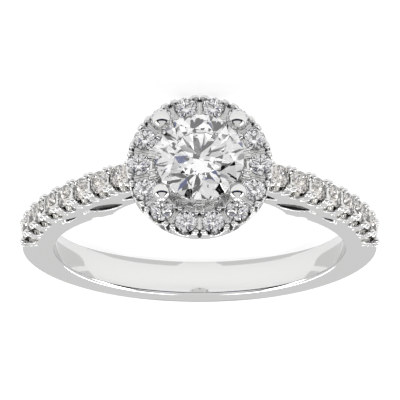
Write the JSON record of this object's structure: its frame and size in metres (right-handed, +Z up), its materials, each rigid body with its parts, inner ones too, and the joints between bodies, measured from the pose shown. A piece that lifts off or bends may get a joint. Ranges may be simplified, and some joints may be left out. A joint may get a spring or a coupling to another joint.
{
  "type": "halo ring",
  "caption": "Finger ring with a round centre stone in prongs, a round halo of small stones and stone-set shoulders, lying on its side.",
  "frame": {"origin": "on the floor, under the middle of the ring as it lies", "axes": "+Z up, the finger hole leans a little from it; the head points along -Y; +X runs across the ring"},
  "size_m": [0.0214, 0.0268, 0.0085],
  "materials": {
    "white_gold": "polished rhodium-plated white gold",
    "diamond": "polished facets"
  },
  "bodies": {
    "root": {"mounting": "white_gold", "centre_stone": "diamond", "halo_stone_01": "diamond", "halo_stone_02": "diamond", "halo_stone_03": "diamond", "halo_stone_04": "diamond", "halo_stone_05": "diamond", "halo_stone_06": "diamond", "halo_stone_07": "diamond", "halo_stone_08": "diamond", "halo_stone_09": "diamond", "halo_stone_10": "diamond", "halo_stone_11": "diamond", "halo_stone_12": "diamond", "halo_stone_13": "diamond", "halo_stone_14": "diamond", "left_stone_1": "diamond", "left_stone_2": "diamond", "left_stone_3": "diamond", "left_stone_4": "diamond", "left_stone_5": "diamond", "left_stone_6": "diamond", "left_stone_7": "diamond", "left_stone_8": "diamond", "right_stone_1": "diamond", "right_stone_2": "diamond", "right_stone_3": "diamond", "right_stone_4": "diamond", "right_stone_5": "diamond", "right_stone_6": "diamond", "right_stone_7": "diamond", "right_stone_8": "diamond"}
  },
  "joints": []
}
